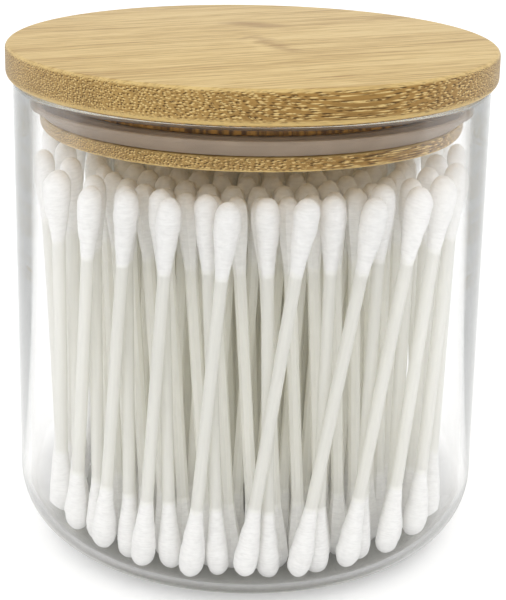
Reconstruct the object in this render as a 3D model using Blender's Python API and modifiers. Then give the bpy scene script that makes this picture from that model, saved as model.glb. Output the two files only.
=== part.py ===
"""Cotton swab tub: a round glass jar full of cotton swabs, with a sealed bamboo lid.

Metres, +Z up. The jar stands on Z = 0 and everything is turned about the Z axis.
"""
import math

import bmesh
import bpy
import numpy as np
from mathutils import Matrix, Vector

# Clearances
FIT = 0.0003                # between pieces that touch, and between the seal's lip and the glass
SWAB_SEAT = 0.0004          # under a swab's tip, room for its tilt
RING_GAP = 0.0004           # between one ring of swabs and the next
HEADSPACE = 0.0043          # between the highest swab and the lid's plug

# Swabs
SWAB_LENGTH = 0.0785
STICK_RADIUS = 0.00125
HEAD_RADIUS = 0.0025
HEAD_WIDEST = 0.0042        # from the tip to where the head is widest
HEAD_LENGTH = 0.0148        # from the tip to where the cotton ends on the stick
TIP_RADIUS = 0.0015

# Single swabs near the glass, in a front and a back rank. Turns are angles about the jar's axis.
FRONT = math.radians(-90)   # the side that faces the viewer
RANK_PITCH = 0.0105         # the least between neighbours of a rank, at their feet
FOOT_RANK_STEP = 0.0026     # from the front rank's feet in to those of the back rank
TOP_RANK_STEP = 0.0050      # the same at the tops, where the sticks have crossed
BACK_SLIP = 1               # places by which the back rank's tops fall behind those of the front rank
FOOT_SPLAY = 0.0038         # how far the front rank's feet stand in from its tops
SWAB_LIFT = 0.0010          # the most that a swab stands up from its seat
SWAB_LEAN = math.radians(14)
LEAN_SWING = math.radians(4)
SWING_COUNT = 4             # how often the lean swells and ebbs round the jar
FOOT_SHIFT = 0.0001         # the most that a foot stands beside its even place
TOP_SHIFT = 0.0003          # the same at the top
TOP_DEPTH = 0.0003          # the most that a top stands in from the glass, besides its clearance
SEED = 20

# Swabs further in, bound in rings
RING_LEAN = math.radians(9)
HEAD_BOND = 0.00015         # how far each head of a ring presses into its neighbour
SMALLEST_RING = 4           # swabs in the innermost ring, an even number

# Jar
JAR_RADIUS = 0.0486
GLASS_WALL = 0.0015
GLASS_FLOOR = 0.0016
JAR_FOOT_ROUND = 0.0145

# Lid
DISC_OVERHANG = 0.0014
DISC_THICKNESS = 0.0070
DISC_TOP_ROUND = 0.0010
DISC_FOOT_ROUND = 0.0018
PLUG_CLEARANCE = 0.0026     # between the plug's flange and the glass
FLANGE_HEIGHT = 0.0028
FLANGE_ROUND = 0.0008
GROOVE_HEIGHT = 0.0040
GROOVE_DEPTH = 0.0015
NECK_HEIGHT = 0.0028        # from the groove to the disc
NECK_INSET = 0.0005         # how far the neck stands in from the flange
SEAL_BAND = 0.0011          # thickness of the seal's band in the groove
LIP_THICKNESS = 0.0007
LIP_ROOT_HEIGHT = 0.0014    # from the seal's underside to the fold between band and lip

# Facets
TURN_STEPS = 44
OUTER_SWAB_STEPS = 6
INNER_SWAB_STEPS = 4
FOOT_STEPS = 6
RIM_STEPS = 4
EDGE_STEPS = 2
MERGE_DISTANCE = 0.00001
SHARP_ANGLE = math.radians(35)

# Sizes that follow from those above
JAR_INNER_RADIUS = JAR_RADIUS - GLASS_WALL
FOOT_INNER_ROUND = JAR_FOOT_ROUND - GLASS_WALL
TOP_RING_RADIUS = JAR_INNER_RADIUS - HEAD_RADIUS - FIT
FOOT_RING_RADIUS = TOP_RING_RADIUS - FOOT_SPLAY
BACK_TOP_RADIUS = TOP_RING_RADIUS - TOP_RANK_STEP
BACK_FOOT_RADIUS = FOOT_RING_RADIUS - FOOT_RANK_STEP
RING_STEP = 2 * HEAD_RADIUS + RING_GAP


def glass_height(radius):
    """Height of the glass floor, which curves up at the jar's foot."""
    over = max(0.0, radius - (JAR_INNER_RADIUS - FOOT_INNER_ROUND))
    return GLASS_FLOOR + FOOT_INNER_ROUND - math.sqrt(FOOT_INNER_ROUND ** 2 - over ** 2)


def seat_height(radius):
    """Height of a swab's tip that stands on the glass at this radius."""
    return glass_height(radius + TIP_RADIUS) + SWAB_SEAT


STACK_TOP = seat_height(FOOT_RING_RADIUS) + SWAB_LIFT + SWAB_LENGTH
PLUG_BOTTOM = STACK_TOP + HEADSPACE
GROOVE_BOTTOM = PLUG_BOTTOM + FLANGE_HEIGHT
GROOVE_TOP = GROOVE_BOTTOM + GROOVE_HEIGHT
DISC_BOTTOM = GROOVE_TOP + NECK_HEIGHT
JAR_HEIGHT = DISC_BOTTOM - FIT
FLANGE_RADIUS = JAR_INNER_RADIUS - PLUG_CLEARANCE
GROOVE_RADIUS = FLANGE_RADIUS - GROOVE_DEPTH


def clear_scene():
    """Remove every object of the scene."""
    for obj in list(bpy.data.objects):
        bpy.data.objects.remove(obj, do_unlink=True)


def new_collection(name):
    """A collection in the scene."""
    collection = bpy.data.collections.new(name)
    bpy.context.scene.collection.children.link(collection)
    return collection


def new_material(name, colour, roughness, transmission=0.0):
    """A Principled material."""
    material = bpy.data.materials.new(name)
    material.use_nodes = True
    material.diffuse_color = (*colour, 1.0)
    shader = material.node_tree.nodes["Principled BSDF"]
    shader.inputs["Base Color"].default_value = (*colour, 1.0)
    shader.inputs["Roughness"].default_value = roughness
    shader.inputs["Metallic"].default_value = 0.0
    shader.inputs["Transmission Weight"].default_value = transmission
    return material


def arc(centre, radius, start, end, steps):
    """Points of an arc in the profile plane, from one angle in degrees to another."""
    turns = [math.radians(start + (end - start) * step / steps) for step in range(steps + 1)]
    return [(centre[0] + radius * math.cos(turn), centre[1] + radius * math.sin(turn)) for turn in turns]


def turned_mesh(name, profile, steps, closed=False):
    """The mesh of a profile turned about the Z axis. The profile's outer side runs down."""
    edges = [(start, start + 1) for start in range(len(profile) - 1)]
    if closed:
        edges.append((len(profile) - 1, 0))
    outline = bpy.data.meshes.new(name + "_profile")
    outline.from_pydata([(radius, 0.0, height) for radius, height in profile], edges, [])
    blank = bpy.data.objects.new(name + "_profile", outline)
    bpy.context.scene.collection.objects.link(blank)
    screw = blank.modifiers.new("turn", "SCREW")
    screw.steps = steps
    screw.render_steps = steps
    screw.use_merge_vertices = True
    screw.merge_threshold = MERGE_DISTANCE
    mesh = bpy.data.meshes.new_from_object(blank.evaluated_get(bpy.context.evaluated_depsgraph_get()))
    mesh.name = name
    mesh.shade_smooth()
    mesh.set_sharp_from_angle(angle=SHARP_ANGLE)
    bpy.data.objects.remove(blank, do_unlink=True)
    bpy.data.meshes.remove(outline)
    return mesh


def add_piece(collection, name, mesh, material, parent=None):
    """A named object with its material, on its parent where it has one."""
    piece = bpy.data.objects.new(name, mesh)
    if not mesh.materials:
        mesh.materials.append(material)
    collection.objects.link(piece)
    if parent:
        piece.parent = parent
        piece.matrix_parent_inverse = parent.matrix_world.inverted()
    return piece


def jar_profile():
    """The glass shell, from the middle of its floor over the rim to the middle of its base."""
    inner_centre = (JAR_INNER_RADIUS - FOOT_INNER_ROUND, GLASS_FLOOR + FOOT_INNER_ROUND)
    outer_centre = (JAR_RADIUS - JAR_FOOT_ROUND, JAR_FOOT_ROUND)
    rim_round = GLASS_WALL / 2
    rim_centre = (JAR_INNER_RADIUS + rim_round, JAR_HEIGHT - rim_round)
    return [
        (0.0, GLASS_FLOOR),
        *arc(inner_centre, FOOT_INNER_ROUND, -90, 0, FOOT_STEPS),
        *arc(rim_centre, rim_round, 180, 0, RIM_STEPS),
        *arc(outer_centre, JAR_FOOT_ROUND, 0, -90, FOOT_STEPS),
        (0.0, 0.0),
    ]


def disc_profile():
    """The lid's disc, rounded at its top edge and more at its foot."""
    radius = JAR_RADIUS + DISC_OVERHANG
    top = DISC_BOTTOM + DISC_THICKNESS
    top_centre = (radius - DISC_TOP_ROUND, top - DISC_TOP_ROUND)
    foot_centre = (radius - DISC_FOOT_ROUND, DISC_BOTTOM + DISC_FOOT_ROUND)
    return [
        (0.0, top),
        *arc(top_centre, DISC_TOP_ROUND, 90, 0, EDGE_STEPS),
        *arc(foot_centre, DISC_FOOT_ROUND, 0, -90, EDGE_STEPS),
        (0.0, DISC_BOTTOM),
    ]


def plug_profile():
    """The plug: neck under the disc, groove for the seal, and flange with a rounded lower edge."""
    neck = FLANGE_RADIUS - NECK_INSET
    flange_centre = (FLANGE_RADIUS - FLANGE_ROUND, PLUG_BOTTOM + FLANGE_ROUND)
    return [
        (0.0, DISC_BOTTOM - FIT),
        (neck, DISC_BOTTOM - FIT),
        (neck, GROOVE_TOP),
        (GROOVE_RADIUS, GROOVE_TOP),
        (GROOVE_RADIUS, GROOVE_BOTTOM),
        (FLANGE_RADIUS, GROOVE_BOTTOM),
        *arc(flange_centre, FLANGE_ROUND, 0, -90, EDGE_STEPS),
        (0.0, PLUG_BOTTOM),
    ]


def seal_profile():
    """The seal: a band in the groove, and a lip that flares from its foot up to the glass."""
    inner = GROOVE_RADIUS + FIT
    outer = inner + SEAL_BAND
    reach = JAR_INNER_RADIUS - FIT
    bottom = GROOVE_BOTTOM + FIT
    top = GROOVE_TOP - FIT
    return [
        (inner, top),
        (outer, top),
        (outer, bottom + LIP_ROOT_HEIGHT),
        (reach - LIP_THICKNESS, top),
        (reach, top),
        (reach, top - LIP_THICKNESS),
        (outer, bottom),
        (inner, bottom),
    ]


def swab_profile():
    """A swab from its upper tip to its lower one: head, stick and head."""
    return [
        (0.0, SWAB_LENGTH),
        (TIP_RADIUS, SWAB_LENGTH),
        (HEAD_RADIUS, SWAB_LENGTH - HEAD_WIDEST),
        (STICK_RADIUS, SWAB_LENGTH - HEAD_LENGTH),
        (STICK_RADIUS, HEAD_LENGTH),
        (HEAD_RADIUS, HEAD_WIDEST),
        (TIP_RADIUS, 0.0),
        (0.0, 0.0),
    ]


def swab_place(foot_radius, foot_turn, top_radius, top_turn, lift=0.0):
    """The matrix that stands a swab on the glass and leans it, with a corner of its section outwards."""
    foot = Vector((foot_radius * math.cos(foot_turn), foot_radius * math.sin(foot_turn)))
    top = Vector((top_radius * math.cos(top_turn), top_radius * math.sin(top_turn)))
    shift = top - foot
    lean = Vector((*shift, math.sqrt(SWAB_LENGTH ** 2 - shift.length_squared))).normalized()
    outwards = Vector((*foot, 0.0)).normalized()
    side = (outwards - lean * outwards.dot(lean)).normalized()
    place = Matrix((side, lean.cross(side), lean)).transposed().to_4x4()
    place.translation = (*foot, seat_height(foot_radius) + lift)
    return place


def between(turns):
    """Angles halfway from each swab of a rank to the next one round the jar."""
    following = np.append(turns[1:], turns[0] + 2 * math.pi)
    return (turns + following) / 2


def add_outer_swabs(collection, material):
    """Two ranks of single swabs. One leans against the glass, the other stands in the gaps behind it."""
    random = np.random.default_rng(SEED)
    mesh = turned_mesh("swab", swab_profile(), OUTER_SWAB_STEPS)
    count = int(2 * math.pi * FOOT_RING_RADIUS / RANK_PITCH)
    even = FRONT + 2 * math.pi * np.arange(count) / count
    feet = even + FOOT_SHIFT / FOOT_RING_RADIUS * random.uniform(-1, 1, count)
    swing = LEAN_SWING * np.sin(SWING_COUNT * (even - FRONT))
    tops = even + SWAB_LEAN + swing + TOP_SHIFT / TOP_RING_RADIUS * random.uniform(-1, 1, count)
    lifts = SWAB_LIFT * random.random(2 * count)
    front = zip([FOOT_RING_RADIUS] * count, feet, TOP_RING_RADIUS - TOP_DEPTH * random.random(count), tops)
    back_tops = np.roll(between(tops), BACK_SLIP)
    back = zip([BACK_FOOT_RADIUS] * count, between(feet), [BACK_TOP_RADIUS] * count, back_tops)
    for index, (ends, lift) in enumerate(zip([*front, *back], lifts), start=1):
        swab = add_piece(collection, f"swab_{index:02d}", mesh, material)
        swab.matrix_world = swab_place(*ends, lift)


def bound_mesh(name, form, places):
    """One mesh of the same swab at several places."""
    shape = bmesh.new()
    for place in places:
        start = len(shape.verts)
        shape.from_mesh(form)
        shape.verts.ensure_lookup_table()
        bmesh.ops.transform(shape, matrix=place, verts=shape.verts[start:])
    mesh = bpy.data.meshes.new(name)
    shape.to_mesh(mesh)
    shape.free()
    return mesh


def bound_radius(count):
    """Radius of a ring of this many swabs whose lower heads press together, corner to corner."""
    half_turn = math.pi / count
    return (HEAD_RADIUS * math.cos(half_turn) - HEAD_BOND) / math.sin(half_turn)


def add_bound_rings(collection, cutters, material):
    """The inner rings. The lower heads of a ring press together, so each ring is one body."""
    form = turned_mesh("inner_swab", swab_profile(), INNER_SWAB_STEPS)
    reach = BACK_FOOT_RADIUS - RING_STEP
    lean = -RING_LEAN
    ring = 1
    while reach >= bound_radius(SMALLEST_RING):
        count = SMALLEST_RING
        while bound_radius(count + 2) <= reach:
            count += 2
        radius = bound_radius(count)
        top_radius = radius + BACK_TOP_RADIUS - BACK_FOOT_RADIUS
        turns = [2 * math.pi * index / count for index in range(count)]
        places = [swab_place(radius, turn, top_radius, turn + lean) for turn in turns]
        name = f"swab_ring_{ring}"
        partner_name = name + "_partner"
        piece = add_piece(collection, name, bound_mesh(name, form, places[::2]), material)
        partner = add_piece(cutters, partner_name, bound_mesh(partner_name, form, places[1::2]), material)
        partner.hide_render = True
        partner.display_type = "WIRE"
        union = piece.modifiers.new("bind", "BOOLEAN")
        union.operation = "UNION"
        union.object = partner
        reach = radius - RING_STEP
        lean = -lean
        ring += 1


def main():
    """Build the tub."""
    clear_scene()
    parts = new_collection("cotton_swab_tub")
    cutters = new_collection("cutters")
    glass = new_material("clear_glass", (0.93, 0.95, 0.94), 0.03, transmission=1.0)
    disc_bamboo = new_material("disc_bamboo", (0.72, 0.51, 0.27), 0.45)
    plug_bamboo = new_material("plug_bamboo", (0.66, 0.44, 0.22), 0.5)
    silicone = new_material("silicone", (0.75, 0.73, 0.76), 0.35)
    cotton = new_material("cotton", (0.93, 0.93, 0.91), 0.9)

    add_piece(parts, "glass_jar", turned_mesh("glass_jar", jar_profile(), TURN_STEPS), glass)

    lift = bpy.data.objects.new("lid_lift", None)
    lift.location = (0.0, 0.0, JAR_HEIGHT)
    parts.objects.link(lift)
    bpy.context.view_layer.update()
    add_piece(parts, "lid_disc", turned_mesh("lid_disc", disc_profile(), TURN_STEPS), disc_bamboo, lift)
    add_piece(parts, "lid_plug", turned_mesh("lid_plug", plug_profile(), TURN_STEPS), plug_bamboo, lift)
    seal = turned_mesh("seal_ring", seal_profile(), TURN_STEPS, closed=True)
    add_piece(parts, "seal_ring", seal, silicone, lift)

    add_outer_swabs(parts, cotton)
    add_bound_rings(parts, cutters, cotton)


main()
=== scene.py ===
"""Cotton swab tub, dressed for the camera: clear glass, bamboo lid, silicone seal and cotton swabs.

The packed model is the frame. Each piece stands where its solid stands and moves with the same body.
"""

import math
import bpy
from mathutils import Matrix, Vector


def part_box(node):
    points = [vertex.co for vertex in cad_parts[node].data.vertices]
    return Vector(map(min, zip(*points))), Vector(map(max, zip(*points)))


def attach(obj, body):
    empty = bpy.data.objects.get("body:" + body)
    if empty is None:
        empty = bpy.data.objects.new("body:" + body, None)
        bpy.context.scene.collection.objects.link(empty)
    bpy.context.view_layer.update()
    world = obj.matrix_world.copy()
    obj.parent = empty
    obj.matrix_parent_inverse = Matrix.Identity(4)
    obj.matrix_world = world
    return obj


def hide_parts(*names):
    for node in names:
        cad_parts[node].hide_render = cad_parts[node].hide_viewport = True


bl_info = {
    "name": "Cotton Swab Tub",
    "version": (1, 0, 0),
    "blender": (4, 5, 0),
    "location": "3D View > Sidebar > Swab Tub",
    "description": "Builds a glass tub of cotton swabs with a bamboo lid",
    "category": "Object",
}

import bmesh
import bpy
import numpy as np
from bpy.props import FloatProperty, FloatVectorProperty, IntProperty, PointerProperty
from bpy.types import NodeSocket, Operator, Panel, PropertyGroup
from mathutils import Euler, Matrix, Vector, noise

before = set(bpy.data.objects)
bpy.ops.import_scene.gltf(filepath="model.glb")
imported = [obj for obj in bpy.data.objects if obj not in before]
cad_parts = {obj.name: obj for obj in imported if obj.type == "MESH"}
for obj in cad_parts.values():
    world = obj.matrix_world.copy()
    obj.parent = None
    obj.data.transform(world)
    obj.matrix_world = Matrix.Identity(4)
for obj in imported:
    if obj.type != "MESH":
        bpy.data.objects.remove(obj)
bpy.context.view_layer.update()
JAR_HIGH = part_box("glass_jar")[1]
DISC_LOW, DISC_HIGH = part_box("lid_disc")
PLUG_LOW, PLUG_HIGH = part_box("lid_plug")
SEAL_LOW, SEAL_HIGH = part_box("seal_ring")
OUTER_SWABS = sorted(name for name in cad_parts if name.startswith("swab_") and "ring" not in name)
SWAB_RINGS = sorted(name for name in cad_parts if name.startswith("swab_ring_"))

FULL_TURN = 2 * math.pi
MERGE_DISTANCE = 1e-6
SHARP_ABOVE = math.radians(40)
WHITE = (1.0, 1.0, 1.0)
NOISE_MIDDLE = 0.5          # what a noise comes to on the whole

# Steps along the roundings of the turned pieces
JAR_FOOT_STEPS = 16
JAR_INNER_FOOT_STEPS = 14
JAR_RIM_STEPS = 12
DISC_TOP_STEPS = 5
DISC_FOOT_STEPS = 6
FLANGE_STEPS = 5
EDGE_BREAK_STEPS = 2
SEAL_CORNER_STEPS = 3

# Swabs. Stations are the steps along a dome, facets those round the swab
OUTER_STATIONS = 8
OUTER_FACETS = 20
INNER_STATIONS = 3
INNER_FACETS = 8
DOME_BLUNTNESS = 2.3        # 2 makes a round dome, more a blunt one
LEAST_GIRTH = 0.9           # of a head, as a share of the full one
GIRTH_SPREAD = 0.1          # the most that a head has above that
LONGEST_BARREL = 0.002      # the straight part of a head, between dome and taper
LUMPS = ((420, 0.6), (1100, 0.3))  # fineness and weight of the cotton's coarse and fine lumps
LUMP_SHIFT = 0.1            # sets the lumps a little into the head
LUMP_RISE = 3               # the lumps grow from the cotton's end to full over this part of the head, one third
SEED_REACH = 50             # how far apart the swabs may lie in the noise that shapes them
WAY_SHIFT = 0.01            # how much of that goes into their textures
TIP_DEPTH = 0.001           # a tip's corners lie no further than this from its end
RING_TIP_CORNERS = 4        # corners of a tip in the bound rings

# Bamboo. Its texture space is in millimetres, with the grain along X
PER_MM = 1000.0
WANDER = (0.03, 0.12, 0.12)
WANDER_REACH = (0.0, 1.8, 1.8)
BUNDLES = (1.65, 2.35)      # bundles in a millimetre, across the grain and through it
BUNDLE_DISORDER = 0.85
CAP_OFFSET = (0.30, 0.42, 0.0)
BREAKS = (0.55, 2.4, 2.9)
CAP_BREAKS_OFFSET = (31.0, 7.0, 3.0)
STRIPS = (0.006, 0.13, 0.13)
BANDS = (0.034, 1.05, 1.05)
HAIRS = (0.12, 4.4, 4.4)
STRIP_WEIGHT = 0.25
BAND_WEIGHT = 0.38
HAIR_WEIGHT = 0.37
BUNDLE_RELIEF = 0.6         # share of the bundles in the bamboo's relief
HAIR_RELIEF = 0.4           # and that of the fibres
INNER_LAYER_PALENESS = 0.7
EDGE_CREAM_SHARE = 0.5          # of the cream that shows where an edge begins to turn
DISC_GRAIN_SHIFT = (13.0, 4.0, 2.0)
PLUG_GRAIN_SHIFT = (-7.0, 21.0, 5.0)
DISC_INNER_LAYER = (0.0004, 0.0019)  # heights above the disc's underside between which the fibres thin out

# Spans for map_range: where a change begins and ends, and the values there if they aren't 0 and 1
BREAK_SPAN = (0.36, 0.56)
PORE_SPAN = (0.42, 0.20)
CAP_SPAN = (0.40, 0.18)
GOLDEN_SPAN = (0.53, 0.38, 0.0, 0.75)
CREAM_SPAN = (0.49, 0.58, 0.0, 0.9)
BARED_SPAN = (0.15, 0.75, 0.10, 1.0)
END_GRAIN_SPAN = (0.25, 0.85, 0.85, 0.60)
BROWN_SPAN = (0.58, 0.38, 0.0, 0.35)
EDGE_CREAM_SPAN = (0.02, 0.25)
WORN_SPAN = (0.3, 0.8)
BAMBOO_GLOSS_SPAN = (0.3, 0.7, 0.52, 0.42)
NECK_SPAN = (0.36, 0.62)
NECK_GLOSS_SPAN = (0.3, 0.7, 0.6, 0.5)
GLASS_EDGE_SPAN = (0.55, 0.85)
CLOUD_SPAN = (0.35, 0.65)
FIBRE_SPAN = (0.36, 0.60)
COVERED_SPAN = (0.15, 0.45)
PAPER_SPAN = (0.35, 0.62)

# The bamboo's node, where it crosses the disc. Each mark is a short band across the grain, in millimetres:
# middle along the grain, middle across it, half its reach, slope, half its width, strength
NODE_SHADOWS = (
    (2.6, -5.0, 12.0, 0.0, 3.0, 0.50),
    (1.2, 4.6, 2.6, 1.6, 3.2, 0.50),
    (8.5, 19.0, 6.5, -0.6, 7.0, 0.65),
)
NODE_LIGHTS = (
    (-1.6, -5.0, 8.0, 0.1, 2.4, 0.60),
    (7.0, 11.0, 3.0, 0.0, 6.0, 0.40),
)
MARK_BEND = (0.05, 0.22, 0.0)
MARK_FRAY = (0.5, 2.2, 0.0)
MARK_DRIFT = 5.0            # how far bend and fray carry a mark along the grain

# Textures of the other materials, in repeats to the metre along X, Y and Z
NECK_STREAKS = (900.0, 900.0, 60.0)
WOUND_FIBRES = (450.0, 450.0, 4200.0)
WOUND_WEIGHT = 0.65
TUFTS = (900.0, 900.0, 1400.0)
TUFT_WEIGHT = 0.35
WISPS = (1500.0, 1500.0, 500.0)
PAPER_STREAKS = (2200.0, 2200.0, 90.0)
SILICONE_CLOUDS = 180.0
SILICONE_SKIN = 2500.0
FLOOR_CLOUDS = 6.0
# painted shade: COTTON_SHADE darkens the hollows between the cotton's fibres
COTTON_SHADE = 0.90         # how dark the hollows between the fibres are
PAPER_SHADE = 0.95
SILICONE_PALER = 1.12
FLOOR_SHADE = 0.99
GLASS_IOR = 1.47
SILICONE_IOR = 1.41

# The photograph's camera
CAMERA_PLACE = Vector((0.0, -0.3506, 0.1649))
CAMERA_TARGET = Vector((0.0, 0.0, 0.0526))
CAMERA_LENS = 104.0
CAMERA_SENSOR = 36.0
CAMERA_ROLL = 0.0182
CAMERA_SHIFT = (0.0075, -0.0216)
CAMERA_NEAR = 0.01

# The stage
FLOOR_RADIUS = 4.0
FLOOR_STEPS = 64
FLOOR_GAP = 0.0003          # between the glass and the floor under it
# painted reflection and painted shadow: only glossy rays see the floor darker in front of the tub and round its foot
PAINTED_REFLECTION_EDGE = (-0.03, -0.14)  # where the floor in front of the tub begins to fade in reflections, and ends
FOOT_SHADOW = (0.075, 0.050)  # how far from the tub's axis its shadow in reflections begins, and is full
FRONT_WALL = (0.45, -0.35)  # Y of the direction where the backdrop ends, and where the front wall is full
OVERHEAD = (0.1, 0.8)       # Z of the direction where the walls end, and where the zenith is full
LIGHT_BOUNCES = 200         # light runs far along a glass wall before it gets out
DIFFUSE_BOUNCES = 12        # and is thrown about between the white swabs


def length(name, description, default):
    """A size in metres."""
    return FloatProperty(
        name=name, description=description, default=default, min=0.0, subtype="DISTANCE", unit="LENGTH")


def colour(name, description, default):
    """A linear RGB colour."""
    return FloatVectorProperty(
        name=name, description=description, default=default, min=0.0, max=1.0, size=3, subtype="COLOR")


def fraction(name, description, default):
    """A share of a whole."""
    return FloatProperty(name=name, description=description, default=default, min=0.0, max=1.0)


def amount(name, description, default):
    """A strength or brightness."""
    return FloatProperty(name=name, description=description, default=default, min=0.0)


def angle(name, description, degrees):
    """An angle."""
    return FloatProperty(name=name, description=description, default=math.radians(degrees), subtype="ANGLE")


def facets(description, default):
    """The number of facets of a turned piece."""
    return IntProperty(name="Facets", description=description, default=default, min=12)


class JarSettings(PropertyGroup):
    """Sizes, tint and painted shade of the glass."""
    wall: length("Wall", "Thickness of the glass wall", 0.0015)
    floor: length("Floor", "Thickness of the glass floor", 0.0016)
    foot_round: length("Foot round", "Outer radius of the rounded foot", 0.0145)
    tint: colour("Tint", "Colour of light that has run a long way through the glass", (0.62, 0.68, 0.64))
    depth: amount("Tint density", "How fast the glass takes on its tint", 1.5)
    foot_shade: fraction("Foot shade", "Share of the light that the thick foot lets through", 0.5)
    # painted shade: a grey put into the foot's colour for the shadow under and round it
    foot_painted_shade: colour("Foot tint", "Grey of the thick foot", (0.64, 0.63, 0.56))
    # below this height the foot has its painted shade and lets less light through
    foot_height: length("Foot height", "Height below which the foot looks grey", 0.0048)
    # painted shade: a grey put into the glass where it is seen along its wall
    edge_painted_shade: colour("Edge tint", "Grey of the glass where it is seen along its wall", (0.955, 0.957, 0.95))
    # painted shade: the same grey, darker, at the rounded foot
    foot_edge_painted_shade: colour("Foot edge tint", "The same at the rounded foot", (0.70, 0.69, 0.64))
    turn_steps: facets("Facets round the glass", 160)


class LidSettings(PropertyGroup):
    """Sizes and colours of the bamboo lid."""
    top_round: length("Top round", "Rounding of the disc's upper edge", 0.0010)
    foot_round: length("Foot round", "Rounding of the disc's lower edge", 0.0018)
    flange_height: length("Flange height", "Height of the plug's flange", 0.0028)
    flange_round: length("Flange round", "Rounding of the flange's lower edge", 0.0008)
    groove_height: length("Groove height", "Height of the groove for the seal", 0.0040)
    groove_depth: length("Groove depth", "Depth of the groove below the flange", 0.0015)
    neck_inset: length("Neck inset", "How far the neck stands in from the flange", 0.0005)
    edge_break: length("Edge break", "Rounding of the groove's edges", 0.0002)
    grain_turn: angle("Grain turn", "Direction of the disc's grain", 24)
    plug_grain_turn: angle("Plug grain turn", "Direction of the plug's grain", 38)
    cream: colour("Cream bamboo", "Colour of the soft inner layer", (0.69, 0.50, 0.205))
    pale: colour("Pale bamboo", "Colour of the sanded face", (0.61, 0.425, 0.155))
    golden: colour("Golden bamboo", "Colour of the fibres", (0.30, 0.157, 0.033))
    brown: colour("Brown bamboo", "Colour of the open fibre ends", (0.095, 0.046, 0.010))
    # painted shade: the neck's colour is darker for the shade under the disc, besides the cutter's darkening
    neck: colour("Neck", "Colour of the neck, darkened by the cutter", (0.50, 0.255, 0.050))
    turn_steps: facets("Facets round the lid", 192)


class SealSettings(PropertyGroup):
    """Sizes and colour of the silicone seal."""
    band: length("Band", "Thickness of the band in the groove", 0.0011)
    lip: length("Lip", "Thickness of the lip at the glass", 0.0007)
    lip_root: length("Lip root", "Height of the fold between band and lip", 0.0014)
    rounding: length("Rounding", "Rounding of the seal's edges", 0.00015)
    tint: colour("Tint", "Colour of the silicone", (0.45, 0.358, 0.275))
    milk: colour("Milk", "Colour of the light that passes through the silicone", (0.80, 0.74, 0.66))
    milky: fraction("Milky", "Share of the light that passes through the silicone", 0.3)


class SwabSettings(PropertyGroup):
    """Sizes and colours of the swabs."""
    stick_radius: length("Stick radius", "Radius of the paper stick", 0.00125)
    head_radius: length("Head radius", "Radius of the cotton where it is widest", 0.00262)
    head_length: length("Head length", "Length of the cotton on the stick", 0.0152)
    dome: length("Dome", "From the tip to where the cotton is widest", 0.0036)
    cotton_skin: length("Cotton skin", "Thickness of the cotton where it ends", 0.00003)
    cotton_end: length("Cotton end", "Length over which the cotton frays out on the stick", 0.0025)
    lumps: length("Lumps", "Unevenness of the cotton", 0.00030)
    cotton: colour("Cotton", "Colour of the cotton", (0.955, 0.95, 0.935))
    paper: colour("Paper", "Colour of the stick", (0.90, 0.895, 0.855))
    # painted light: the swabs further in get whiter cotton and paper than the outer ones, to lift the shade they lie
    # in
    inner_cotton_painted_light: colour("Inner cotton", "Colour of the cotton of the swabs further in", (0.985, 0.98, 0.96))
    inner_paper_painted_light: colour("Inner paper", "Colour of the sticks further in", (0.985, 0.98, 0.945))
    paper_through: fraction("Light through paper", "Share of the light that passes through a stick", 0.35)
    cotton_through: fraction("Light through cotton", "Share of the light that passes through a head", 0.12)
    seed: IntProperty(name="Seed", description="Picks the shapes of the heads", default=11)


class StageSettings(PropertyGroup):
    """Floor and light."""
    floor: colour("Floor", "Colour of the floor", (0.97, 0.97, 0.97))
    floor_glow: amount("Floor glow", "Light that comes through the floor from below", 0.12)
    # painted shadow and painted reflection: the floor is darker in reflections only, round the foot and in front of
    # the tub, where the floor itself goes on unchanged
    painted_foot_shadow: fraction("Foot shadow", "Strength of the shadow under the foot in reflections", 0.46)
    reflected_floor_shade: amount("Far floor", "Brightness of the floor past the table's edge", 0.06)
    zenith: amount("Zenith", "Brightness of the room overhead", 1.0)
    backdrop: amount("Backdrop", "Brightness of the paper behind and beside the tub", 1.05)
    front: amount("Front wall", "Brightness of the wall behind the viewer", 0.32)
    key: amount("Key light", "Strength of the soft light from above the viewer", 1.0)
    key_height: angle("Key height", "Angle of the key light above the horizon", 40)
    key_turn: angle("Key turn", "Angle of the key light to the viewer's left", 6)
    key_spread: angle("Key spread", "Angle across the key light", 50)


def feed(tree, node, values):
    """Give a node's sockets their values. A socket as value is linked."""
    for socket, value in values.items():
        if isinstance(value, NodeSocket):
            tree.links.new(value, node.inputs[socket])
        else:
            node.inputs[socket].default_value = value


def add_node(tree, kind, values=None, **settings):
    """A shader node with its settings and the values of its sockets."""
    made = tree.nodes.new(kind)
    for name, value in settings.items():
        setattr(made, name, value)
    feed(tree, made, values or {})
    return made


def math_node(tree, operation, first, second=0.0, third=0.0):
    """The result of a Math node."""
    return add_node(tree, "ShaderNodeMath", {0: first, 1: second, 2: third}, operation=operation).outputs[0]


def vector_node(tree, operation, first, second):
    """The vector of a Vector Math node."""
    return add_node(tree, "ShaderNodeVectorMath", {0: first, 1: second}, operation=operation).outputs[0]


def split(tree, vector):
    """The X, Y and Z of a vector."""
    return add_node(tree, "ShaderNodeSeparateXYZ", {0: vector}).outputs


def blend_node(tree, factor, first, second):
    """A colour between two others."""
    return add_node(tree, "ShaderNodeMix", {0: factor, 6: first, 7: second}, data_type="RGBA").outputs[2]


def blend_value(tree, factor, first, second):
    """A number between two others."""
    return add_node(tree, "ShaderNodeMix", {0: factor, 2: first, 3: second}, data_type="FLOAT").outputs[0]


def map_range(tree, value, low, high, to_low=0.0, to_high=1.0):
    """A value carried smoothly from one range to another."""
    sockets = {"Value": value, "From Min": low, "From Max": high, "To Min": to_low, "To Max": to_high}
    return add_node(tree, "ShaderNodeMapRange", sockets, interpolation_type="SMOOTHSTEP").outputs[0]


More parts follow.
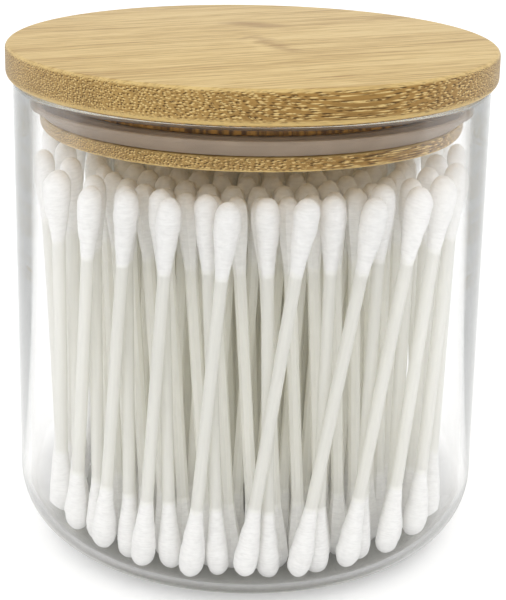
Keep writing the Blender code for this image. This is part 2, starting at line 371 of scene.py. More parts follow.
def noise_node(tree, vector, scale, detail=2.0, roughness=0.5):
    """A Noise Texture."""
    sockets = {"Vector": vector, "Scale": scale, "Detail": detail, "Roughness": roughness}
    return add_node(tree, "ShaderNodeTexNoise", sockets)


def stretched_noise(tree, vector, stretch, detail=2.0, roughness=0.5):
    """The value of a noise with its own number of repeats along X, Y and Z."""
    return noise_node(tree, vector_node(tree, "MULTIPLY", vector, stretch), 1.0, detail, roughness).outputs[0]


def bump_node(tree, height, strength, distance):
    """The normals of a Bump node."""
    return add_node(
        tree, "ShaderNodeBump", {"Height": height, "Strength": strength, "Distance": distance}).outputs[0]


def own_place(tree):
    """Place on a piece, in its own coordinates."""
    return add_node(tree, "ShaderNodeTexCoord").outputs["Object"]


def own_attribute(tree, name):
    """An attribute of a piece's mesh."""
    return add_node(tree, "ShaderNodeAttribute", attribute_name=name).outputs


def new_group(name, inputs, outputs):
    """A shader node group with named sockets, its tree and its two end nodes."""
    tree = bpy.data.node_groups.new(name, "ShaderNodeTree")
    for label, kind, default in inputs:
        socket = tree.interface.new_socket(label, in_out="INPUT", socket_type=kind)
        socket.default_value = default
    for label, kind in outputs:
        tree.interface.new_socket(label, in_out="OUTPUT", socket_type=kind)
    return tree, tree.nodes.new("NodeGroupInput").outputs, tree.nodes.new("NodeGroupOutput")


def new_material(name):
    """A material with an empty Principled shader."""
    material = bpy.data.materials.new(name)
    material.use_nodes = True
    tree = material.node_tree
    return material, tree, tree.nodes["Principled BSDF"]


def rgba(triple, factor=1.0):
    """A colour with full alpha, darkened or brightened by a factor."""
    return (*(min(1.0, part * factor) for part in triple), 1.0)


def let_light_through(tree, shader, tint, share):
    """Mix a translucent shader of this colour into a material, for thin or loose stuff that light gets through."""
    passing = add_node(tree, "ShaderNodeBsdfTranslucent", {"Color": rgba(tint)})
    mix = add_node(tree, "ShaderNodeMixShader", {0: share, 1: shader.outputs[0], 2: passing.outputs[0]})
    feed(tree, tree.nodes["Material Output"], {"Surface": mix.outputs[0]})


def bamboo_group():
    """Bamboo cut any way. Its fibre bundles run along X: dots where the cut crosses them, streaks beside it."""
    name = "Bamboo Grain"
    if name in bpy.data.node_groups:
        return bpy.data.node_groups[name]
    tree, given, result = new_group(
        name,
        [("Vector", "NodeSocketVector", (0.0, 0.0, 0.0)),
         ("Edge", "NodeSocketFloat", 0.0),
         ("End Grain", "NodeSocketFloat", 0.0),
         ("Inner Layer", "NodeSocketFloat", 0.0),
         ("Cream", "NodeSocketColor", (0.8, 0.6, 0.3, 1.0)),
         ("Pale", "NodeSocketColor", (0.8, 0.6, 0.3, 1.0)),
         ("Golden", "NodeSocketColor", (0.6, 0.4, 0.15, 1.0)),
         ("Brown", "NodeSocketColor", (0.2, 0.1, 0.03, 1.0))],
        [("Color", "NodeSocketColor"), ("Height", "NodeSocketFloat"), ("Roughness", "NodeSocketFloat")])

    # fibres wander a little as they run
    slow = vector_node(tree, "MULTIPLY", given["Vector"], WANDER)
    wander = noise_node(tree, slow, 1.0, detail=1.0).outputs["Color"]
    wander = vector_node(tree, "SUBTRACT", wander, (NOISE_MIDDLE,) * 3)
    wander = vector_node(tree, "MULTIPLY", wander, WANDER_REACH)
    wandering = vector_node(tree, "ADD", given["Vector"], wander)
    parts = split(tree, wandering)

    # bundles stand in a loose pattern across the grain: dark open pores, each with a light cap beside it
    across = add_node(tree, "ShaderNodeCombineXYZ", {
        "X": math_node(tree, "MULTIPLY", parts["Y"], BUNDLES[0]),
        "Y": math_node(tree, "MULTIPLY", parts["Z"], BUNDLES[1])}).outputs[0]
    pores, caps = (
        add_node(tree, "ShaderNodeTexVoronoi", {
            "Vector": place, "Scale": 1.0, "Randomness": BUNDLE_DISORDER}, voronoi_dimensions="2D").outputs["Distance"]
        for place in (across, vector_node(tree, "ADD", across, CAP_OFFSET)))
    broken = vector_node(tree, "MULTIPLY", wandering, BREAKS)
    pore_breaks, cap_breaks = (
        map_range(tree, noise_node(tree, place, 1.0).outputs[0], *BREAK_SPAN)
        for place in (broken, vector_node(tree, "ADD", broken, CAP_BREAKS_OFFSET)))
    dark = math_node(tree, "MULTIPLY", map_range(tree, pores, *PORE_SPAN), pore_breaks)
    light = math_node(tree, "MULTIPLY", map_range(tree, caps, *CAP_SPAN), cap_breaks)

    # bands of tone, from broad strips down to single fibres
    strips = stretched_noise(tree, wandering, STRIPS)
    bands = stretched_noise(tree, wandering, BANDS, detail=3.0)
    hairs = stretched_noise(tree, wandering, HAIRS)
    tone = math_node(tree, "MULTIPLY", strips, STRIP_WEIGHT)
    tone = math_node(tree, "MULTIPLY_ADD", bands, BAND_WEIGHT, tone)
    tone = math_node(tree, "MULTIPLY_ADD", hairs, HAIR_WEIGHT, tone)
    face = blend_node(tree, map_range(tree, tone, *GOLDEN_SPAN), given["Pale"], given["Golden"])
    face = blend_node(tree, map_range(tree, tone, *CREAM_SPAN), face, given["Cream"])

    # the turned edge shows the bundles, less so in the soft inner layer
    outer = math_node(tree, "MULTIPLY_ADD", given["Inner Layer"], -INNER_LAYER_PALENESS, 1.0)
    bared = math_node(tree, "MULTIPLY", map_range(tree, given["Edge"], *BARED_SPAN), outer)
    worn = blend_node(tree, map_range(tree, given["End Grain"], *END_GRAIN_SPAN), given["Pale"], given["Golden"])
    worn = blend_node(tree, map_range(tree, tone, *BROWN_SPAN), worn, given["Brown"])
    # paler cream where the surface begins to turn from the face to the edge
    edge_cream = math_node(tree, "MULTIPLY", map_range(tree, given["Edge"], *EDGE_CREAM_SPAN), EDGE_CREAM_SHARE)
    ground = blend_node(tree, edge_cream, face, given["Cream"])
    ground = blend_node(tree, map_range(tree, given["Edge"], *WORN_SPAN), ground, worn)
    paleness = math_node(tree, "MULTIPLY", given["Inner Layer"], INNER_LAYER_PALENESS)
    ground = blend_node(tree, paleness, ground, given["Pale"])
    marked = blend_node(tree, math_node(tree, "MULTIPLY", dark, bared), ground, given["Brown"])
    marked = blend_node(tree, math_node(tree, "MULTIPLY", light, bared), marked, given["Cream"])

    relief = math_node(tree, "MULTIPLY", math_node(tree, "SUBTRACT", light, dark), bared)
    feed(tree, result, {
        "Color": marked,
        "Height": math_node(
            tree, "MULTIPLY_ADD", relief, BUNDLE_RELIEF, math_node(tree, "MULTIPLY", hairs, HAIR_RELIEF)),
        "Roughness": map_range(tree, tone, *BAMBOO_GLOSS_SPAN)})
    return tree


def node_marks(tree, place, marks):
    """How strongly the marks of a bamboo node show at a place. They fade out and fray along the fibres."""
    parts = split(tree, place)
    bent = stretched_noise(tree, place, MARK_BEND, detail=1.0)
    frayed = stretched_noise(tree, place, MARK_FRAY, detail=3.0)
    drift = math_node(tree, "MULTIPLY", math_node(tree, "SUBTRACT", bent, NOISE_MIDDLE), MARK_DRIFT)
    drift = math_node(tree, "MULTIPLY_ADD", math_node(tree, "SUBTRACT", frayed, NOISE_MIDDLE), MARK_DRIFT, drift)
    total = 0.0
    for along, across, reach, slope, width, strength in marks:
        beside = math_node(tree, "SUBTRACT", parts["Y"], across)
        offset = math_node(tree, "SUBTRACT", parts["X"], math_node(tree, "MULTIPLY_ADD", beside, slope, along))
        offset = math_node(tree, "ADD", offset, drift)
        band = map_range(tree, math_node(tree, "ABSOLUTE", offset), width, 0.0, 0.0, strength)
        fade = map_range(tree, math_node(tree, "ABSOLUTE", beside), reach, reach / 2)
        total = math_node(tree, "MAXIMUM", total, math_node(tree, "MULTIPLY", band, fade))
    return total


def bamboo_material(name, settings, turn, shift, inner_layer=None, knot=False):
    """Bamboo with its grain turned about Z. inner_layer gives the heights between which the fibres thin out."""
    material, tree, shader = new_material(name)
    place = add_node(tree, "ShaderNodeTexCoord").outputs
    scaled = add_node(tree, "ShaderNodeMapping", {
        "Vector": place["Object"], "Rotation": (0.0, 0.0, -turn), "Scale": (PER_MM,) * 3}).outputs[0]
    along = (math.cos(turn), math.sin(turn), 0.0)
    facing = add_node(tree, "ShaderNodeVectorMath", {0: place["Normal"], 1: along}, operation="DOT_PRODUCT")
    upward = split(tree, place["Normal"])["Z"]
    thinning = 0.0
    if inner_layer:
        thinning = map_range(tree, split(tree, place["Object"])["Z"], inner_layer[1], inner_layer[0])
    grain = add_node(tree, "ShaderNodeGroup", {
        "Vector": vector_node(tree, "ADD", scaled, shift),
        "Edge": math_node(tree, "SUBTRACT", 1.0, math_node(tree, "ABSOLUTE", upward)),
        "End Grain": math_node(tree, "ABSOLUTE", facing.outputs["Value"]),
        "Inner Layer": thinning,
        "Cream": rgba(settings.cream),
        "Pale": rgba(settings.pale),
        "Golden": rgba(settings.golden),
        "Brown": rgba(settings.brown),
    }, node_tree=bamboo_group()).outputs
    shade = grain["Color"]
    if knot:
        shade = blend_node(tree, node_marks(tree, scaled, NODE_LIGHTS), shade, rgba(settings.cream))
        shade = blend_node(tree, node_marks(tree, scaled, NODE_SHADOWS), shade, rgba(settings.golden))
    feed(tree, shader, {
        "Base Color": shade,
        "Roughness": grain["Roughness"],
        "Specular IOR Level": 0.3,
        "Normal": bump_node(tree, grain["Height"], strength=0.3, distance=0.0001)})
    return material


def neck_material(settings):
    """The plug's neck: bamboo darker than the rest of the plug, in part from the cutter and in part painted shade of
    the disc above, with streaks up and down.
    """
    material, tree, shader = new_material("neck_bamboo_finish")
    streaks = stretched_noise(tree, own_place(tree), NECK_STREAKS, detail=3.0)
    feed(tree, shader, {
        "Base Color": blend_node(
            tree, map_range(tree, streaks, *NECK_SPAN), rgba(settings.brown), rgba(settings.neck)),
        "Roughness": map_range(tree, streaks, *NECK_GLOSS_SPAN)})
    return material


def glass_material(settings):
    """Clear glass, with painted shade that greys it where it is seen along its wall and at its foot. Shadow and
    diffuse rays go straight through.
    """
    material, tree, shader = new_material("clear_glass_finish")
    height = split(tree, own_place(tree))["Z"]
    # painted shade: grey where the glass is seen along its wall, darker at the rounded foot
    facing = add_node(tree, "ShaderNodeLayerWeight", {"Blend": 0.5}).outputs["Facing"]
    low = map_range(tree, height, settings.foot_round, settings.foot_round / 2)
    rim = blend_node(tree, low, rgba(settings.edge_painted_shade), rgba(settings.foot_edge_painted_shade))
    clear = blend_node(tree, map_range(tree, facing, *GLASS_EDGE_SPAN), rgba(WHITE), rim)
    # painted shade: the glass greys below the foot height; the same mask dims the light that passes there
    foot = map_range(tree, height, settings.foot_height, settings.foot_height / 2)
    feed(tree, shader, {
        "Base Color": blend_node(tree, foot, clear, rgba(settings.foot_painted_shade)),
        "Roughness": 0.0,
        "IOR": GLASS_IOR,
        "Transmission Weight": 1.0})
    path = add_node(tree, "ShaderNodeLightPath").outputs
    straight = math_node(tree, "MAXIMUM", path["Is Shadow Ray"], path["Is Diffuse Ray"])
    # light crosses both faces of the glass, so each lets the root of the share through
    passing = blend_node(tree, foot, rgba(WHITE), rgba(WHITE, math.sqrt(settings.foot_shade)))
    window = add_node(tree, "ShaderNodeBsdfTransparent", {"Color": passing})
    mix = add_node(tree, "ShaderNodeMixShader", {0: straight, 1: shader.outputs[0], 2: window.outputs[0]})
    tinted = add_node(tree, "ShaderNodeVolumeAbsorption", {"Color": rgba(settings.tint), "Density": settings.depth})
    feed(tree, tree.nodes["Material Output"], {"Surface": mix.outputs[0], "Volume": tinted.outputs[0]})
    return material


def silicone_material(settings):
    """Smooth milky silicone with faint clouds."""
    material, tree, shader = new_material("silicone_finish")
    place = own_place(tree)
    clouds = noise_node(tree, place, SILICONE_CLOUDS, detail=3.0).outputs[0]
    skin = noise_node(tree, place, SILICONE_SKIN).outputs[0]
    feed(tree, shader, {
        "Base Color": blend_node(
            tree, map_range(tree, clouds, *CLOUD_SPAN), rgba(settings.tint), rgba(settings.tint, SILICONE_PALER)),
        "Roughness": 0.38,
        "IOR": SILICONE_IOR,
        "Transmission Weight": 0.25,
        "Normal": bump_node(tree, skin, strength=0.1, distance=0.00005)})
    let_light_through(tree, shader, settings.milk, settings.milky)
    return material


def cotton_material(name, cotton, paper, light_through):
    """Wound cotton: fine uneven fibres that run round the head and fray out on the stick."""
    material, tree, shader = new_material(name)
    way = own_attribute(tree, "swab_way")["Vector"]
    wound = stretched_noise(tree, way, WOUND_FIBRES, detail=4.0, roughness=0.6)
    tufts = stretched_noise(tree, way, TUFTS, detail=3.0)
    mixed = math_node(tree, "MULTIPLY_ADD", wound, WOUND_WEIGHT, math_node(tree, "MULTIPLY", tufts, TUFT_WEIGHT))
    # painted shade in the hollows between the fibres
    fibres = blend_node(tree, map_range(tree, mixed, *FIBRE_SPAN), rgba(cotton, COTTON_SHADE), rgba(cotton))
    left = own_attribute(tree, "cotton_left")["Fac"]
    wisps = stretched_noise(tree, way, WISPS, detail=3.0)
    covered = math_node(tree, "ADD", left, math_node(tree, "SUBTRACT", wisps, NOISE_MIDDLE))
    feed(tree, shader, {
        "Base Color": blend_node(tree, map_range(tree, covered, *COVERED_SPAN), rgba(paper), fibres),
        "Roughness": 0.95,
        "Specular IOR Level": 0.15,
        "Sheen Weight": 0.2,
        "Normal": bump_node(tree, mixed, strength=0.7, distance=0.00030)})
    let_light_through(tree, shader, cotton, light_through)
    return material


def paper_material(name, paper, light_through):
    """Rolled paper stick: matt, with faint streaks along it."""
    material, tree, shader = new_material(name)
    streaks = stretched_noise(tree, own_attribute(tree, "swab_way")["Vector"], PAPER_STREAKS, detail=3.0)
    feed(tree, shader, {
        "Base Color": blend_node(
            tree, map_range(tree, streaks, *PAPER_SPAN), rgba(paper, PAPER_SHADE), rgba(paper)),
        "Roughness": 0.55,
        "Specular IOR Level": 0.3,
        "Normal": bump_node(tree, streaks, strength=0.12, distance=0.0001)})
    let_light_through(tree, shader, paper, light_through)
    return material


def floor_material(settings):
    """A pale matt floor. Reflections see it darker in front of the tub and round its foot: a painted reflection and
    painted shadow that only glossy rays see.
    """
    material, tree, shader = new_material("pale_floor")
    place = own_place(tree)
    clouds = noise_node(tree, place, FLOOR_CLOUDS).outputs[0]
    pale = blend_node(tree, clouds, rgba(settings.floor, FLOOR_SHADE), rgba(settings.floor))
    # painted reflection and painted shadow: glossy rays see the floor darker in front of the tub and round its foot
    ahead = map_range(tree, split(tree, place)["Y"], *PAINTED_REFLECTION_EDGE)
    distance = add_node(tree, "ShaderNodeVectorMath", {0: place}, operation="LENGTH").outputs["Value"]
    dim = math_node(tree, "MAXIMUM", ahead, map_range(tree, distance, *FOOT_SHADOW, 0.0, settings.painted_foot_shadow))
    reflection_shade_mask = math_node(tree, "MULTIPLY", dim, add_node(tree, "ShaderNodeLightPath").outputs["Is Glossy Ray"])
    far = rgba(WHITE, settings.reflected_floor_shade)
    feed(tree, shader, {
        "Base Color": blend_node(tree, reflection_shade_mask, pale, far),
        "Emission Color": blend_node(tree, reflection_shade_mask, rgba(settings.floor), far),
        "Emission Strength": settings.floor_glow,
        "Roughness": 0.9,
        "Specular IOR Level": 0.0})
    return material


def arc(centre, radius, start, end, steps):
    """Points of an arc in the profile plane, from one angle in degrees to another."""
    turns = [math.radians(start + (end - start) * step / steps) for step in range(steps + 1)]
    return [(centre[0] + radius * math.cos(turn), centre[1] + radius * math.sin(turn)) for turn in turns]


def spun(points, steps, closed=False):
    """A bmesh of a profile, given by radius and height, spun about the Z axis."""
    shape = bmesh.new()
    corners = [shape.verts.new((radius, 0.0, height)) for radius, height in points]
    pairs = list(zip(corners, corners[1:] + corners[:1]))
    for start, end in pairs if closed else pairs[:-1]:
        shape.edges.new((start, end))
    bmesh.ops.spin(
        shape, geom=shape.verts[:] + shape.edges[:], cent=(0.0, 0.0, 0.0), axis=(0.0, 0.0, 1.0),
        angle=FULL_TURN, steps=steps, use_merge=True)
    bmesh.ops.remove_doubles(shape, verts=shape.verts[:], dist=MERGE_DISTANCE)
    bmesh.ops.recalc_face_normals(shape, faces=shape.faces[:])
    return shape


def rounded(points, radius, steps):
    """A closed outline with each of its corners rounded."""
    outline = []
    for index, corner in enumerate(points):
        corner = Vector(corner)
        before = Vector(points[index - 1]) - corner
        after = Vector(points[(index + 1) % len(points)]) - corner
        reach = min(radius, before.length / 3, after.length / 3)
        start = corner + before.normalized() * reach
        end = corner + after.normalized() * reach
        for step in range(steps + 1):
            part = step / steps
            outline.append(tuple(start * (1 - part) ** 2 + corner * 2 * part * (1 - part) + end * part ** 2))
    return outline


def place_piece(name, shape, finishes, body, nodes):
    """Turn a bmesh into a piece that rides on its body and stands for its CAD nodes."""
    mesh = bpy.data.meshes.new(name)
    shape.to_mesh(mesh)
    shape.free()
    mesh.shade_smooth()
    mesh.set_sharp_from_angle(angle=SHARP_ABOVE)
    for finish in finishes:
        mesh.materials.append(finish)
    piece = bpy.data.objects.new(name, mesh)
    bpy.context.scene.collection.objects.link(piece)
    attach(piece, body)
    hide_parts(*nodes)
    return piece


def head_radius(distance, swabs, girth, barrel):
    """Radius of the cotton at a distance from its tip: a blunt dome, a short barrel and a long taper to the stick."""
    widest = swabs.head_radius * girth
    if distance < swabs.dome:
        rise = 1 - distance / swabs.dome
        return widest * math.sqrt(max(0.0, 1 - rise ** DOME_BLUNTNESS))
    end = swabs.stick_radius + swabs.cotton_skin
    shoulder = swabs.dome + barrel
    fall = max(0.0, (distance - shoulder) / (swabs.head_length - shoulder))
    smooth = fall * fall * (3 - 2 * fall)
    return end + (widest - end) * (1 - fall / 2 - smooth / 2)


def swab_outline(swabs, whole_length, heads, stations):
    """Profile of a swab from its lower tip to its upper one. heads gives girth and barrel of each end."""
    def end_points(head):
        dome = [swabs.dome * (1 - math.cos(math.pi / 2 * step / stations)) for step in range(stations + 1)]
        rest = [swabs.dome + (swabs.head_length - swabs.dome) * step / (2 * stations)
                for step in range(1, 2 * stations + 1)]
        points = [(head_radius(distance, swabs, *head), distance) for distance in dome + rest]
        points[0] = (0.0, 0.0)
        return points + [(swabs.stick_radius, swabs.head_length)]

    lower = end_points(heads[0])
    upper = [(radius, whole_length - distance) for radius, distance in reversed(end_points(heads[1]))]
    return lower + upper


def add_swab(shape, swabs, foot, top, random, stations, steps):
    """Add one swab to a bmesh, from the middle of its lower tip to the middle of its upper one."""
    whole_length = (top - foot).length
    heads = [(LEAST_GIRTH + GIRTH_SPREAD * random.random(), LONGEST_BARREL * random.random()) for _ in range(2)]
    swab = spun(swab_outline(swabs, whole_length, heads, stations), steps)
    way = swab.verts.layers.float_vector.new("swab_way")
    left = swab.verts.layers.float.new("cotton_left")
    seed = Vector(random.random(3) * SEED_REACH)
    for vert in swab.verts:
        height = vert.co.z
        end = min(height, whole_length - height)
        cotton = min(1.0, max(0.0, 1 - end / swabs.head_length))
        lump = sum(noise.noise(vert.co * fineness + seed) * weight for fineness, weight in LUMPS)
        vert[way] = vert.co + seed * WAY_SHIFT
        vert[left] = min(1.0, max(0.0, (swabs.head_length - end) / swabs.cotton_end))
        around = Vector((vert.co.x, vert.co.y, 0.0))
        if around.length > 0:
            vert.co += around.normalized() * (lump - LUMP_SHIFT) * swabs.lumps * min(1.0, cotton * LUMP_RISE)
    for face in swab.faces:
        height = face.calc_center_median().z
        face.material_index = int(min(height, whole_length - height) > swabs.head_length)
    turn = (top - foot).to_track_quat("Z", "Y").to_matrix().to_4x4()
    bmesh.ops.transform(swab, matrix=Matrix.Translation(foot) @ turn, verts=swab.verts[:])
    mesh = bpy.data.meshes.new("swab")
    swab.to_mesh(mesh)
    swab.free()
    shape.from_mesh(mesh)
    bpy.data.meshes.remove(mesh)


def tip_points(name, upper):
    """The corners of a CAD node's upper or lower tips, each once."""
    corners = np.array([vert.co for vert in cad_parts[name].data.vertices])
    corners = np.unique(np.round(corners, 6), axis=0)
    if upper:
        return corners[corners[:, 2] > corners[:, 2].max() - TIP_DEPTH]
    return corners[corners[:, 2] < corners[:, 2].min() + TIP_DEPTH]


def swab_ends(name):
    """Middles of a single swab's lower and upper tip."""
    return [Vector(tip_points(name, upper).mean(axis=0)) for upper in (False, True)]


def ring_tips(name, upper):
    """Middles of a ring's tips, in order round the ring. The corners of a tip follow each other in that order."""
    corners = tip_points(name, upper)
    turns = np.arctan2(corners[:, 1], corners[:, 0])
    order = np.argsort(turns)
    gaps = np.diff(np.append(turns[order], turns[order][0] + FULL_TURN))
    order = np.roll(order, -1 - int(np.argmax(gaps)))
    tips = corners[order].reshape(-1, RING_TIP_CORNERS, 3).mean(axis=1)
    return [Vector(tip) for tip in tips]


def ring_ends(name, swab_length):
    """Both tips of each swab in a ring. The feet and tops are matched so that every swab has its real length."""
    feet = ring_tips(name, False)
    tops = ring_tips(name, True)
    if len(feet) != len(tops):
        raise RuntimeError(f"{name} has {len(feet)} feet and {len(tops)} tops")
    offset = min(range(len(tops)), key=lambda step: abs((tops[step] - feet[0]).length - swab_length))
    return [(foot, tops[(index + offset) % len(tops)]) for index, foot in enumerate(feet)]


class TUB_OT_stage(Operator):
    """Floor, light and camera"""
    bl_idname = "tub.stage"
    bl_label = "Stage"

    def execute(self, context):
        settings = context.scene.tub_stage
        scene = context.scene
        scene.view_settings.view_transform = "Standard"
        for bounces in ("max_bounces", "glossy_bounces", "transmission_bounces"):
            setattr(scene.cycles, bounces, LIGHT_BOUNCES)
        scene.cycles.diffuse_bounces = DIFFUSE_BOUNCES

        world = bpy.data.worlds.new("studio")
        world.use_nodes = True
        scene.world = world
        tree = world.node_tree
        parts = split(tree, add_node(tree, "ShaderNodeTexCoord").outputs["Generated"])
        wall = blend_value(tree, map_range(tree, parts["Y"], *FRONT_WALL), settings.backdrop, settings.front)
        feed(tree, tree.nodes["Background"], {
            "Color": rgba(WHITE),
            "Strength": blend_value(tree, map_range(tree, parts["Z"], *OVERHEAD), wall, settings.zenith)})

        shape = bmesh.new()
        bmesh.ops.create_circle(shape, cap_ends=True, radius=FLOOR_RADIUS, segments=FLOOR_STEPS)
        bmesh.ops.translate(shape, vec=(0.0, 0.0, -FLOOR_GAP), verts=shape.verts[:])
        mesh = bpy.data.meshes.new("floor")
        shape.to_mesh(mesh)
        shape.free()
        mesh.materials.append(floor_material(settings))
        floor = bpy.data.objects.new("floor", mesh)
        scene.collection.objects.link(floor)

        key = bpy.data.lights.new("key_light", "SUN")
        key.energy = settings.key
        key.angle = settings.key_spread
        lamp = bpy.data.objects.new("key_light", key)
        lamp.rotation_euler = (math.pi / 2 - settings.key_height, 0.0, -settings.key_turn)
        lamp.visible_glossy = False
        lamp.visible_transmission = False
        scene.collection.objects.link(lamp)

        lens = bpy.data.cameras.new("camera")
        lens.lens = CAMERA_LENS
        lens.sensor_width = CAMERA_SENSOR
        lens.clip_start = CAMERA_NEAR
        lens.shift_x, lens.shift_y = CAMERA_SHIFT
        camera = bpy.data.objects.new("camera", lens)
        aim = (CAMERA_TARGET - CAMERA_PLACE).to_track_quat("-Z", "Y")
        camera.rotation_euler = (aim @ Euler((0.0, 0.0, CAMERA_ROLL)).to_quaternion()).to_euler()
        camera.location = CAMERA_PLACE
        scene.collection.objects.link(camera)
        scene.camera = camera
        return {"FINISHED"}


class TUB_OT_glass_jar(Operator):
    """The turned glass shell, with a rounded foot and rim"""
    bl_idname = "tub.glass_jar"
    bl_label = "Glass jar"

    def execute(self, context):
        jar = context.scene.tub_jar
        radius = JAR_HIGH.x
        inner = radius - jar.wall
        inner_round = jar.foot_round - jar.wall
        rim = jar.wall / 2
        profile = [
            (0.0, jar.floor),
            *arc((inner - inner_round, jar.floor + inner_round), inner_round, -90, 0, JAR_INNER_FOOT_STEPS),
            *arc((inner + rim, JAR_HIGH.z - rim), rim, 180, 0, JAR_RIM_STEPS),
            *arc((radius - jar.foot_round, jar.foot_round), jar.foot_round, 0, -90, JAR_FOOT_STEPS),
            (0.0, 0.0),
        ]
        shape = spun(profile, jar.turn_steps)
        place_piece("clear_jar", shape, [glass_material(jar)], "jar", ["glass_jar"])
        return {"FINISHED"}


class TUB_OT_lid_disc(Operator):
    """The bamboo disc that lies on the rim"""
    bl_idname = "tub.lid_disc"
    bl_label = "Lid disc"

    def execute(self, context):
        lid = context.scene.tub_lid
        radius = DISC_HIGH.x
        top, foot = lid.top_round, lid.foot_round
        profile = [
            (0.0, DISC_HIGH.z),
            *arc((radius - top, DISC_HIGH.z - top), top, 90, 0, DISC_TOP_STEPS),
            *arc((radius - foot, DISC_LOW.z + foot), foot, 0, -90, DISC_FOOT_STEPS),
            (0.0, DISC_LOW.z),
        ]
        finish = bamboo_material(
            "disc_bamboo_finish", lid, lid.grain_turn, DISC_GRAIN_SHIFT,
            [DISC_LOW.z + height for height in DISC_INNER_LAYER], knot=True)
        shape = spun(profile, lid.turn_steps)
        place_piece("bamboo_disc", shape, [finish], "lid", ["lid_disc"])
        return {"FINISHED"}


class TUB_OT_lid_plug(Operator):
    """The bamboo plug under the disc, with the groove for the seal"""
    bl_idname = "tub.lid_plug"
    bl_label = "Lid plug"

    def execute(self, context):
        lid = context.scene.tub_lid
        radius = PLUG_HIGH.x
        neck = radius - lid.neck_inset
        groove = radius - lid.groove_depth
        groove_low = PLUG_LOW.z + lid.flange_height
        groove_high = groove_low + lid.groove_height
        edge, foot = lid.edge_break, lid.flange_round
        profile = [
            (0.0, PLUG_HIGH.z),
            (neck, PLUG_HIGH.z),
            *arc((neck - edge, groove_high + edge), edge, 0, -90, EDGE_BREAK_STEPS),
            (groove, groove_high),
            (groove, groove_low),
            *arc((radius - edge, groove_low - edge), edge, 90, 0, EDGE_BREAK_STEPS),
            *arc((radius - foot, PLUG_LOW.z + foot), foot, 0, -90, FLANGE_STEPS),
            (0.0, PLUG_LOW.z),
        ]
        finish = bamboo_material("plug_bamboo_finish", lid, lid.plug_grain_turn, PLUG_GRAIN_SHIFT)
        shape = spun(profile, lid.turn_steps)
        for face in shape.faces:
            upright = abs(face.normal.z) < 0.5
            face.material_index = int(face.calc_center_median().z > groove_low and upright)
        place_piece("bamboo_plug", shape, [finish, neck_material(lid)], "lid", ["lid_plug"])
        return {"FINISHED"}


class TUB_OT_seal_ring(Operator):
    """The silicone ring, whose lip flares up to the glass"""
    bl_idname = "tub.seal_ring"
    bl_label = "Seal ring"

    def execute(self, context):
        seal = context.scene.tub_seal
        lid = context.scene.tub_lid
        # the seal stands as far off the groove's wall as off its lower face
        fit = SEAL_LOW.z - PLUG_LOW.z - lid.flange_height
        inner = PLUG_HIGH.x - lid.groove_depth + fit
        outer = inner + seal.band
        reach = SEAL_HIGH.x
        profile = rounded([
            (inner, SEAL_HIGH.z),
            (outer, SEAL_HIGH.z),
            (outer, SEAL_LOW.z + seal.lip_root),
            (reach - seal.lip, SEAL_HIGH.z),
            (reach, SEAL_HIGH.z),
            (reach, SEAL_HIGH.z - seal.lip),
            (outer, SEAL_LOW.z),
            (inner, SEAL_LOW.z),
        ], seal.rounding, SEAL_CORNER_STEPS)
        shape = spun(profile, lid.turn_steps, closed=True)
        place_piece("silicone_seal", shape, [silicone_material(seal)], "lid", ["seal_ring"])
        return {"FINISHED"}


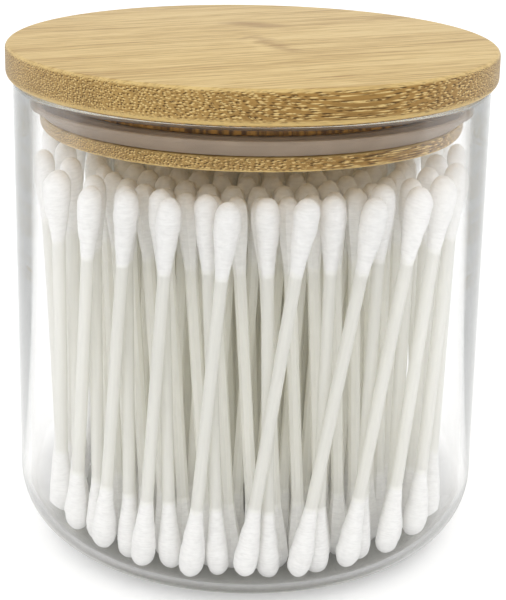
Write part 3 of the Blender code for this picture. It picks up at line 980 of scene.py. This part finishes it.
class TUB_OT_swabs(Operator):
    """The swabs: single ones against the glass, and ring after ring inside them"""
    bl_idname = "tub.swabs"
    bl_label = "Swabs"

    def execute(self, context):
        swabs = context.scene.tub_swabs
        random = np.random.default_rng(swabs.seed)
        outer_finishes = [
            cotton_material("cotton_finish", swabs.cotton, swabs.paper, swabs.cotton_through),
            paper_material("paper_stick_finish", swabs.paper, swabs.paper_through)]
        # painted light: whiter copies of the cotton and paper for the swabs further in, which get less light
        inner_finishes = [
            cotton_material("inner_cotton_finish", swabs.inner_cotton_painted_light, swabs.inner_paper_painted_light, swabs.cotton_through),
            paper_material("inner_paper_finish", swabs.inner_paper_painted_light, swabs.paper_through)]
        for name in OUTER_SWABS:
            foot, top = swab_ends(name)
            shape = bmesh.new()
            add_swab(shape, swabs, foot, top, random, OUTER_STATIONS, OUTER_FACETS)
            place_piece("cotton_" + name, shape, outer_finishes, "jar", [name])
        swab_length = (top - foot).length
        for name in SWAB_RINGS:
            shape = bmesh.new()
            for foot, top in ring_ends(name, swab_length):
                add_swab(shape, swabs, foot, top, random, INNER_STATIONS, INNER_FACETS)
            place_piece("cotton_" + name, shape, inner_finishes, "jar", [name])
        return {"FINISHED"}


class TUB_PT_panel(Panel):
    """Settings and steps of the cotton swab tub"""
    bl_label = "Cotton Swab Tub"
    bl_idname = "TUB_PT_panel"
    bl_space_type = "VIEW_3D"
    bl_region_type = "UI"
    bl_category = "Swab Tub"

    def draw(self, context):
        for operator in OPERATORS:
            self.layout.operator(operator.bl_idname)
        for attribute, group in SETTINGS.items():
            box = self.layout.box()
            box.label(text=group.__doc__)
            for name in group.__annotations__:
                box.prop(getattr(context.scene, attribute), name)


SETTINGS = {
    "tub_jar": JarSettings,
    "tub_lid": LidSettings,
    "tub_seal": SealSettings,
    "tub_swabs": SwabSettings,
    "tub_stage": StageSettings,
}
OPERATORS = (TUB_OT_stage, TUB_OT_glass_jar, TUB_OT_lid_disc, TUB_OT_lid_plug, TUB_OT_seal_ring, TUB_OT_swabs)


def register():
    """Register the classes and hang the settings on the scene."""
    for cls in (*SETTINGS.values(), *OPERATORS, TUB_PT_panel):
        bpy.utils.register_class(cls)
    for attribute, group in SETTINGS.items():
        setattr(bpy.types.Scene, attribute, PointerProperty(type=group))


def unregister():
    """Undo what register did."""
    for attribute in SETTINGS:
        delattr(bpy.types.Scene, attribute)
    for cls in (TUB_PT_panel, *reversed(OPERATORS), *reversed(SETTINGS.values())):
        bpy.utils.unregister_class(cls)


def main():
    """Build the tub."""
    register()
    bpy.ops.tub.stage()
    bpy.ops.tub.glass_jar()
    bpy.ops.tub.lid_disc()
    bpy.ops.tub.lid_plug()
    bpy.ops.tub.seal_ring()
    bpy.ops.tub.swabs()


if __name__ == "__main__":
    main()
